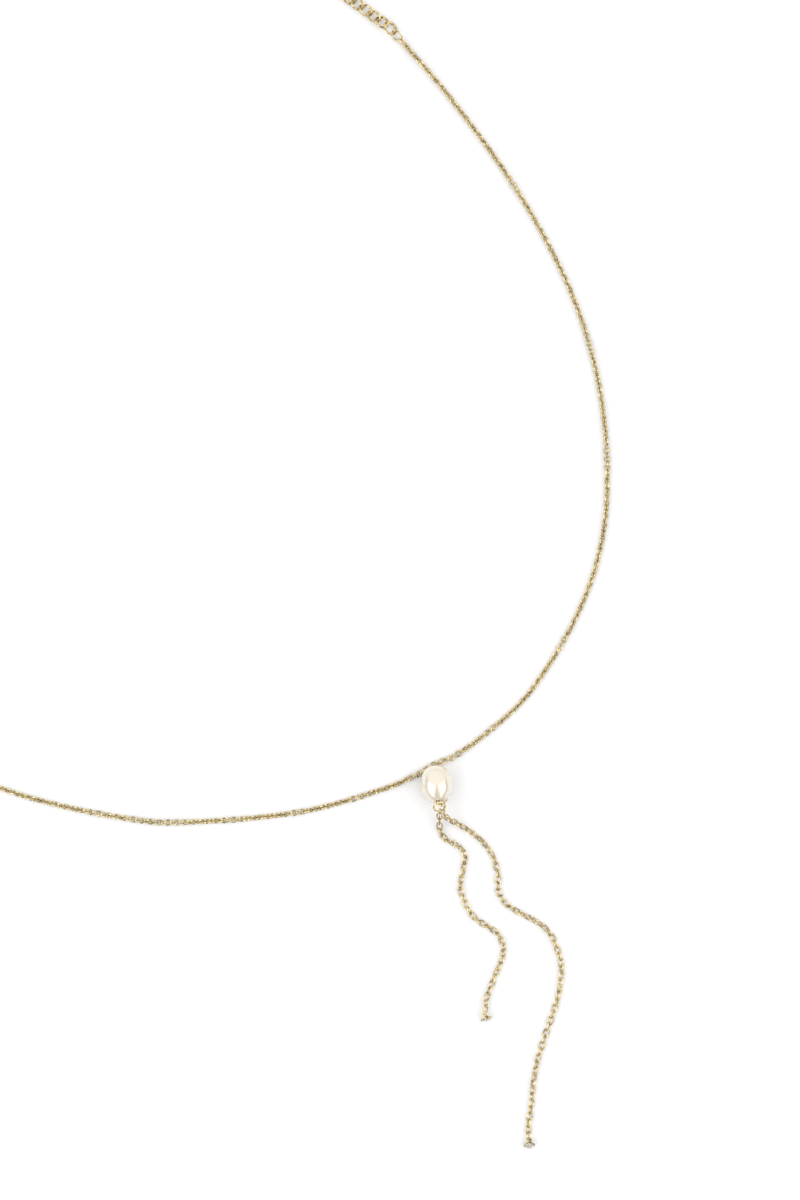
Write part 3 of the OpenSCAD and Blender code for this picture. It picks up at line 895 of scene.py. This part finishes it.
    def build_links(self, bench: Bench) -> None:
        """Makes the pearl's link, the oval link, the extension ring and its curb links.

        Args:
            bench: Where the pieces are made and dressed.
        """
        route = self.route
        mesh = self.pendant.surface(LOOP_POINTS[:1], self.pendant_dir[None], np.zeros(1))
        bench.piece("pearl_link", mesh, bench.gold, Slot.GOLD, "pendant_link")
        head = unit(route.spot(self.jump_at) - route.spot(self.oval_at))
        mesh = self.oval.surface(route.spot(self.oval_at)[None], head[None],
                                 np.array([self.oval_roll]))
        bench.piece("oval_end_link", mesh, bench.curb_gold, Slot.GOLD, "oval_link")
        mesh = self.jump.cut(route.spot(self.jump_at), route.heading(self.jump_at, 1),
                             self.jump_roll, cut_at=75)
        bench.piece("extension_jump_ring", mesh, bench.curb_gold, Slot.GOLD, "extension_ring")
        s = self.ext_at + self.ext_pitch * np.arange(self.ext_links)
        last = np.arange(self.ext_links) == self.ext_links - 1
        mesh = self.curb.surface(route.spot(s) + UP * self.ext_lift, route.heading(s),
                                 np.where(last, self.ext_last_roll, 0.0),
                                 np.where(last, 0.0, 1.0))
        bench.piece("curb_extension", mesh, bench.curb_gold, Slot.GOLD, "extension_chain")

    def build_clasp(self, bench: Bench) -> None:
        """Makes the clasp's ring and eye, and the jump ring beside it.

        Args:
            bench: Where the pieces are made and dressed.
        """
        ring, quads = self.clasp.closed(sides=24, stations=64)
        ring = place(ring, self.clasp_at, self.clasp_dir, 0)
        eye, eye_quads = self.eye.closed(sides=14, stations=32)
        upright = eye[:, [0, 2, 1]] * [1, -1, 1] + [self.eye_off, 0, self.eye_up]
        eye = place(upright, self.clasp_at, self.clasp_dir, 0)
        mesh = joined((ring, quads), (eye, eye_quads))
        bench.piece("ring_clasp", mesh, bench.gold, Slot.GOLD, "clasp")
        mesh = self.jump.cut(self.clasp_ring_at, self.clasp_ring_dir, 0, cut_at=100)
        bench.piece("clasp_jump_ring", mesh, bench.gold, Slot.GOLD, "clasp_ring")


@dataclass
class Pearl:
    """The drilled pearl on its pin, and the ring that holds the tails.

    Angles are in degrees.

    Attributes:
        loop: The loop that it hangs on.
        length, width: Size of the pearl.
        egg: How much fuller its chain end is.
        tilt, bore_tilt: Rise of its long axis and of its hole to the foot.
        bore: Diameter of the hole.
        turn: The way that its chain end points, in plan.
        lift: How far above the surface it stays.
        pin_wire: Wire of the pin.
        eye_in, eye_free, eye_arc: Inner width of the pin's eyes, the bare pin before them
            and how far they are turned.
        ring, ring_slope, ring_turn: The tail ring, its fall from the eye and its way in
            plan.
    """

    loop: Loop
    length: float = 7.5
    width: float = 6.0
    egg: float = 0.18
    tilt: float = 15.0
    bore_tilt: float = 31.0
    bore: float = 0.8
    turn: float = 94.5
    lift: float = 0.02
    pin_wire: float = 0.25
    eye_in: float = 0.5
    eye_free: float = 0.5
    eye_arc: float = 325.0
    ring: RingShape = RingShape(half=1.15, wire=0.3)
    ring_slope: float = 46.0
    ring_turn: float = -70.0

    @cached_property
    def outline(self) -> np.ndarray:
        """Radius w/2 sin a (1 + egg cos a |cos a|) at place l/2 cos a, for a from 0 to 180."""
        a = np.radians(np.linspace(0, 180, 25))
        r = self.width / 2 * np.sin(a) * (1 + self.egg * np.cos(a) * abs(np.cos(a)))
        return np.stack([r, self.length / 2 * np.cos(a)], -1)

    def out(self, angle: np.ndarray) -> np.ndarray:
        """Distance from the middle to the surface at an angle off the long axis, degrees."""
        angles = np.degrees(np.arctan2(self.outline[:, 0], self.outline[:, 1]))
        return np.interp(angle, angles, np.hypot(*self.outline.T))

    @property
    def eye_turn(self) -> float:
        """Radius of the pin's eyes to the middle of the wire."""
        return (self.eye_in + self.pin_wire) / 2

    @property
    def reach_top(self) -> float:
        """Length of pin from the middle to the upper eye."""
        return float(self.out(self.bore_tilt - self.tilt)) + self.eye_free

    @property
    def reach_foot(self) -> float:
        """Length of pin from the middle to the lower eye."""
        return float(self.out(180 - self.bore_tilt + self.tilt)) + self.eye_free

    def eye_plan(self, reach: float) -> float:
        """Plan distance from the middle to an eye's middle, for the pin's length to it."""
        b = np.radians(self.bore_tilt)
        return reach * np.cos(b) - self.eye_turn * np.sin(b)

    @cached_property
    def dir(self) -> np.ndarray:
        """The way the chain end points, in plan."""
        t = np.radians(self.turn)
        return np.array([np.cos(t), np.sin(t), 0.0])

    @cached_property
    def at(self) -> np.ndarray:
        """Middle of the pearl, which lies on the surface and hangs on its link."""
        t = np.radians(self.tilt)
        low = (self.outline[:, 0] * np.cos(t) + self.outline[:, 1] * np.sin(t)).max()
        hook = (LOOP_POINTS[0]
                + unit(np.cross(self.loop.pendant_dir, UP)) * self.loop.pendant.wide)
        return (np.array([hook[0], hook[1], low + self.lift])
                - self.dir * self.eye_plan(self.reach_top))

    @cached_property
    def foot_eye(self) -> np.ndarray:
        """Middle of the pin's lower eye."""
        b = np.radians(self.bore_tilt)
        rise = self.reach_foot * np.sin(b) + self.eye_turn * np.cos(b)
        return self.at - self.dir * self.eye_plan(self.reach_foot) + [0, 0, rise]

    @cached_property
    def ring_dir(self) -> np.ndarray:
        """The way the tail ring hangs from the eye."""
        t, s = np.radians(self.ring_turn), np.radians(self.ring_slope)
        return np.array([np.cos(t) * np.cos(s), np.sin(t) * np.cos(s), -np.sin(s)])

    def axes(self, tilt: float) -> np.ndarray:
        """A frame whose x points to the chain end and down.

        Args:
            tilt: How far down, in degrees.

        Returns:
            Rows x, y and z.
        """
        t = np.radians(tilt)
        x = self.dir * np.cos(t) - UP * np.sin(t)
        y = np.cross(UP, self.dir)
        return np.stack([x, y, np.cross(x, y)])

    def ring_place(self, angle: float, out: float) -> np.ndarray:
        """A place in the ring's plane.

        Args:
            angle: Angle from the ring's lowest point, in degrees.
            out: Distance from the ring's middle.

        Returns:
            The place.
        """
        a = np.radians(angle)
        side = unit(np.cross(UP, self.ring_dir))
        return (self.foot_eye + self.ring_dir * self.ring.half
                + (self.ring_dir * np.cos(a) + side * np.sin(a)) * out)

    def nacre_surface(self) -> Mesh:
        """The drilled pearl: middle + direction(u, v) times the distance to its surface.

        u runs from the rim of the hole at the chain end to the rim at the foot, v round the
        hole's axis. The angle of each rim, arcsin(r / distance), is found in four rounds. The
        rows then go back through the hole at its radius, so the grid closes on itself.

        Returns:
            Points and quads.
        """
        rows, sides, inner = 72, 96, 10
        bore = self.axes(self.bore_tilt)
        long_axis = self.axes(self.tilt)[0]
        v = 2 * np.pi * np.arange(sides) / sides
        ring = np.cos(v)[:, None] * bore[1] + np.sin(v)[:, None] * bore[2]
        r = self.bore / 2

        def surface(theta: np.ndarray) -> np.ndarray:
            """Points of the outside.

            Args:
                theta: Their angles off the hole's axis, one for each of the sides.

            Returns:
                The points, from the middle of the pearl.
            """
            way = np.cos(theta)[..., None] * bore[0] + np.sin(theta)[..., None] * ring
            off = np.degrees(np.arccos(np.clip(way @ long_axis, -1, 1)))
            return way * self.out(off)[..., None]

        rims = []
        for side in (0.0, np.pi):
            rim = np.full(sides, r / self.length * 2)
            for _ in range(4):
                rim = np.arcsin(r / np.linalg.norm(surface(abs(side - rim)), axis=-1))
            rims.append(rim)
        u = np.linspace(0, 1, rows)[:, None]
        theta = rims[0] * (1 - u) + (np.pi - rims[1]) * u
        outside = surface(theta)
        w = np.linspace(0, 1, inner + 2)[1:-1, None, None]
        inside = outside[-1] * (1 - w) + outside[0] * w
        points = np.concatenate([outside, inside]).reshape(-1, 3) + self.at
        return points, ring_faces(1, rows + inner, sides)[:, ::-1]

    def pin(self) -> Mesh:
        """The pin: a straight wire that turns into an eye at each end.

        The eye's points are (reach + t sin a, 0, -t + t cos a), and the foot's are the same
        with x and z turned about.

        Returns:
            Points and faces.
        """
        a = np.radians(np.linspace(self.eye_arc, 0, 32))
        t = self.eye_turn
        eye = np.stack([t * np.sin(a), 0 * a, t * np.cos(a) - t], -1)
        top = eye + [self.reach_top, 0, 0]
        foot = (eye + [self.reach_foot, 0, 0])[::-1] * [-1, 1, -1]
        shaft = np.linspace(top[-1], foot[0], 12)[1:-1]
        path = np.vstack([top, shaft, foot]) @ self.axes(self.bore_tilt) + self.at
        return wire_along(path, self.axes(self.bore_tilt)[1], self.pin_wire, sides=12)

    def build(self, bench: Bench) -> None:
        """Makes the pearl, its pin and the tail ring.

        Args:
            bench: Where the pieces are made and dressed.
        """
        bench.piece("drilled_pearl", self.nacre_surface(), bench.nacre, Slot.PEARL, "pearl",
                    sharp=50)
        bench.piece("eye_pin", self.pin(), bench.ring_gold, Slot.GOLD, "pearl_pin")
        centre = self.foot_eye + self.ring_dir * self.ring.half
        mesh = self.ring.cut(centre, self.ring_dir, 0, cut_at=120)
        bench.piece("tail_jump_ring", mesh, bench.ring_gold, Slot.GOLD, "tail_ring")


@dataclass
class Tail:
    """One hanging chain with its cup and stone. Angles are in degrees.

    Attributes:
        pearl: The pearl whose ring it hangs on.
        name: Short name, as in its CAD nodes.
        points: Its route.
        face: The way its cup faces.
        over: Whether its first link hangs over the ring's upper right and points back.
        angle: Where on the ring it starts if it doesn't.
        over_angle, over_reach: Where on the ring that first link hangs, and how far its
            inner end lies from there.
        pitch, wide, wire: Distance of the links, half width and wire of one.
        gap, free: Free space between links, and of the first link in the ring.
        zigzag: Turn of the links' zigzag.
        sway, sway_step, sway_in: How far it sways, the angle for each link, and the number
            of links over which it fades in.
        cup_eye, cup_free: The cup's eye, and its free space in the last link.
        cup_deep, cup_back, cup_d: Depth of the cup, and its width at the back and the rim.
        cup_floor, cup_wall: Thickness of its floor and wall.
        claw_wire, claw_from, claw_long, claw_inset: Wire of a claw, where it starts in the
            cup, its length and how far inside the rim it starts.
        claw_spread, claw_bend: How far it spreads, and the arc in radians of its bend.
        over_dir, lead_dir: The ways that the link over the ring and the next one point.
    """

    pearl: Pearl
    name: str
    points: np.ndarray
    face: np.ndarray
    over: bool = False
    angle: float = -8.0
    over_angle: float = 115.0
    over_reach: float = 0.86
    pitch: float = 1.25
    wide: float = 0.48
    wire: float = 0.28
    zigzag: float = 40.0
    sway: float = 28.0
    sway_step: float = 14.0
    sway_in: int = 14
    gap: float = 0.2
    free: float = 0.14
    cup_eye: RingShape = RingShape(half=0.48, wire=0.22)
    cup_free: float = 0.08
    cup_deep: float = 0.5
    cup_back: float = 0.9
    cup_d: float = 1.9
    cup_floor: float = 0.2
    cup_wall: float = 0.1
    claw_wire: float = 0.14
    claw_from: float = 0.3
    claw_long: float = 0.53
    claw_inset: float = 0.15
    claw_spread: float = 0.24
    claw_bend: float = 2.2

    over_dir: ClassVar[np.ndarray] = unit([-0.66, -0.7, -0.1])
    lead_dir: ClassVar[np.ndarray] = unit([0.36, -0.93, -0.12])

    @property
    def half(self) -> float:
        """Half length of a link, from its middle to the middle of its end wire."""
        return (self.pitch + self.gap + self.wire) / 2

    @cached_property
    def over_end(self) -> np.ndarray:
        """Inner end of the link that hangs over the ring."""
        on_ring = self.pearl.ring_place(self.over_angle, self.pearl.ring.half)
        return on_ring + self.over_dir * self.over_reach

    @cached_property
    def route(self) -> Route:
        """Route from the ring, or from the link that hangs over it, to the cup's eye."""
        if self.over:
            start = self.over_end - self.lead_dir * (self.gap + self.wire) / 2
            lead = start + self.lead_dir * np.array([[0.0], [0.4], [0.8]])
            return Route.opened(np.vstack([lead, self.points]))
        ring = self.pearl.ring
        out = ring.half - (ring.wire - self.gap) / 2 - self.free
        return Route.opened(np.vstack([self.pearl.ring_place(self.angle, out), self.points]))

    @cached_property
    def count(self) -> int:
        """Number of whole links on the route."""
        return int(self.route.run[-1] // self.pitch)

    def roll(self, i: np.ndarray) -> np.ndarray:
        """Roll of link i: square to its neighbours, in a zigzag that sways slowly."""
        lean = self.zigzag + self.sway * np.sin(np.radians(self.sway_step * i))
        return 90 * (i + 1) + lean * np.minimum(i, self.sway_in) / self.sway_in

    def cup_place(self) -> tuple[np.ndarray, np.ndarray, float]:
        """Place of the cup, whose eye hangs in the last link and square to it.

        Returns:
            Its origin, its heading and its roll in degrees.
        """
        off = 2 * self.cup_eye.half - (self.cup_eye.wire + self.wire) / 2 - self.cup_free
        at = self.route.spot(self.count * self.pitch) + off * self.face
        return at, self.face, float(self.roll(self.count - 1 + self.over)) + 90

    def claw(self, angle: float) -> Mesh:
        """A claw in the plane of the cup's axis: out = start + spread sin(bend t).

        Args:
            angle: Its place round the cup, in radians.

        Returns:
            Points and faces.
        """
        t = np.linspace(0, 1, 9)[:, None]
        out = self.cup_d / 2 - self.claw_inset + self.claw_spread * np.sin(self.claw_bend * t)
        path = np.hstack([self.claw_from + self.claw_long * t, -out * np.sin(angle),
                          out * np.cos(angle)])
        normal = np.array([0.0, np.cos(angle), np.sin(angle)])
        return wire_along(path, normal, self.claw_wire, sides=8)

    def cup(self) -> Mesh:
        """The cup turned from its profile, its eye, and four claws bent over the stone.

        The profile is closed: the back, the side with its rounded edges, the rim, and the
        hollow down to the floor.

        Returns:
            Points and faces.
        """
        rim, back, deep, floor = self.cup_d / 2, self.cup_back / 2, self.cup_deep, self.cup_floor
        profile = np.array([
            [0.0, 0.02], [0.0, back - 0.06], [0.02, back - 0.02], [0.05, back + 0.02],
            [0.20, back + 0.20], [0.36, rim - 0.12], [deep - 0.05, rim - 0.02],
            [deep - 0.02, rim], [deep, rim - 0.03], [deep, rim - 0.08],
            [deep - 0.03, rim - self.cup_wall], [floor, 0.15], [floor, 0.02]])
        body = turned(profile[::-1], 40)
        eye, quads = self.cup_eye.closed(sides=12, stations=28)
        claws = (self.claw(a) for a in np.radians([45, 135, 225, 315]))
        at, head, roll = self.cup_place()
        points, faces = joined(body, (eye - [self.cup_eye.half, 0, 0], quads), *claws)
        return place(points, at, head, roll), faces

    def build(self, bench: Bench) -> None:
        """Makes the links and the cup, and dresses the stone.

        Args:
            bench: Where the pieces are made and dressed.
        """
        knots = self.route.spot(self.pitch * np.arange(self.count + 1))
        middles, heads = (knots[1:] + knots[:-1]) / 2, unit(np.diff(knots, axis=0))
        if self.over:
            middles = np.vstack([self.over_end - self.over_dir * self.half, middles])
            heads = np.vstack([self.over_dir, heads])
        links = LinkShape(self.half, self.wide, self.wire, ends=7, sides=6)
        mesh = links.surface(middles, heads, self.roll(np.arange(len(middles))))
        bench.piece(f"{self.name}_tail_links", mesh, bench.tail_gold, Slot.GOLD,
                    f"{self.name}_tail", sharp=80)
        bench.piece(f"{self.name}_cup", self.cup(), bench.tail_gold, Slot.GOLD,
                    f"{self.name}_setting", sharp=35)
        dress(f"{self.name}_stone", bench.crystal)


@dataclass
class Studio:
    """Floor, lights, backdrop and camera. Lengths are in metres.

    Attributes:
        height: Height of the camera.
        long_side: Length of the photograph's long side on the floor.
        sensor: Width of the camera's sensor in millimetres.
        look_at: The point of the floor under the camera.
        over: The point of the floor beside the pearl, which the soft box faces and over
            which the two panels' corners meet.
        box_at, box_size, box_power: Place, sides and watts of the soft box.
        panel_side, panel_height, panel_clear: Size and height of the panels, and how far
            their corners stay from that point.
        floor_half, floor_tone: Half the floor's side, and its colour.
        air_tone, air_glow: Colour and strength of the surround.
    """

    height: float = 1.5
    long_side: float = 0.228
    sensor: float = 36.0
    look_at: tuple[float, float] = (0.05092, -0.01216)
    over: tuple[float, float] = (0.055, -0.05)
    box_at: Triple = (0.055, 1.245, 1.25)
    box_size: tuple[float, float] = (7.0, 3.13)
    box_power: float = 68.8
    panel_side: float = 3.0
    panel_height: float = 1.1
    panel_clear: float = 0.08
    floor_half: float = 3.0
    floor_tone: Triple = (0.88, 0.88, 0.885)
    air_tone: Triple = (1.0, 0.99, 0.98)
    air_glow: float = 0.10

    def floor(self) -> None:
        """A plain pale floor at the height on which the necklace lies."""
        data = bpy.data.meshes.new("floor")
        f = self.floor_half
        data.from_pydata([(-f, -f, 0), (f, -f, 0), (f, f, 0), (-f, f, 0)], [], [(0, 1, 2, 3)])
        material = bpy.data.materials.new("pale_floor")
        material.use_nodes = True
        shader = material.node_tree.nodes["Principled BSDF"]
        shader.inputs["Base Color"].default_value = (*self.floor_tone, 1)
        shader.inputs["Roughness"].default_value = 0.7
        shader.inputs["Specular IOR Level"].default_value = 0.2
        data.materials.append(material)
        put("floor", data)

    def light(self, name: str, at: Triple, size: tuple[float, float], power: float,
              aim: Triple, turn: float = 0.0) -> None:
        """Adds a soft box.

        Args:
            name: Name of the light.
            at: Its place in metres.
            size: Its two sides in metres.
            power: Its power in watts.
            aim: The point that it faces.
            turn: Turn about the way that it faces, in degrees.
        """
        data = bpy.data.lights.new(name, "AREA")
        data.shape = "RECTANGLE"
        data.size, data.size_y = size
        data.energy = power
        made = put(name, data)
        away = Vector(at) - Vector(aim)
        made.location = at
        face = away.to_track_quat("Z", "Y")
        made.rotation_euler = (face @ Quaternion((0, 0, 1), np.radians(turn))).to_euler()
        made.visible_camera = False

    def panel(self, name: str, first: float, glow: float) -> None:
        """Adds a flat square panel with one corner just past the point above the pearl.

        Args:
            name: Name of the light.
            first: Azimuth of its first side from that corner, in degrees.
            glow: How bright its face is.
        """
        middle = np.radians(first + 45)
        off = self.panel_side / 2 ** 0.5 + self.panel_clear
        x, y = self.over[0] + off * np.cos(middle), self.over[1] + off * np.sin(middle)
        power = glow * np.pi * self.panel_side ** 2
        self.light(name, at=(x, y, self.panel_height), size=(self.panel_side,) * 2,
                   power=power, aim=(x, y, 0.0), turn=first)

    def backdrop(self) -> None:
        """A plain pale surround."""
        world = bpy.data.worlds.new("studio")
        world.use_nodes = True
        shade = world.node_tree.nodes["Background"]
        shade.inputs["Color"].default_value = (*self.air_tone, 1)
        shade.inputs["Strength"].default_value = self.air_glow
        bpy.context.scene.world = world

    def camera(self) -> None:
        """A long lens straight above, with the photograph's frame on the floor."""
        data = bpy.data.cameras.new("camera")
        data.sensor_width = self.sensor
        data.lens = data.sensor_width * self.height / self.long_side
        data.clip_start = 0.01
        made = put("camera", data)
        made.location = (*self.look_at, self.height)
        bpy.context.scene.camera = made

    def build(self) -> None:
        """Sets up the whole studio."""
        self.floor()
        self.light("back_box", self.box_at, self.box_size, self.box_power,
                   aim=(*self.over, 0.0))
        self.panel("left_panel", first=161, glow=1.9)
        self.panel("right_panel", first=295, glow=1.8)
        self.backdrop()
        self.camera()
        scene = bpy.context.scene
        scene.view_settings.view_transform = "Standard"
        scene.view_settings.look = "None"


def main() -> None:
    """Builds the necklace in order and notes the sizes."""
    logging.basicConfig(level=logging.INFO, format="%(message)s")
    bench = Bench.ready()
    loop = Loop()
    loop.build(bench)
    pearl = Pearl(loop)
    pearl.build(bench)
    Tail(pearl, "short", SHORT_POINTS, face=unit([0.25, -0.9, 0.12])).build(bench)
    Tail(pearl, "long", LONG_POINTS, face=unit([0.02, -1, 0.58]), over=True).build(bench)
    Studio().build()


if __name__ == "__main__":
    main()
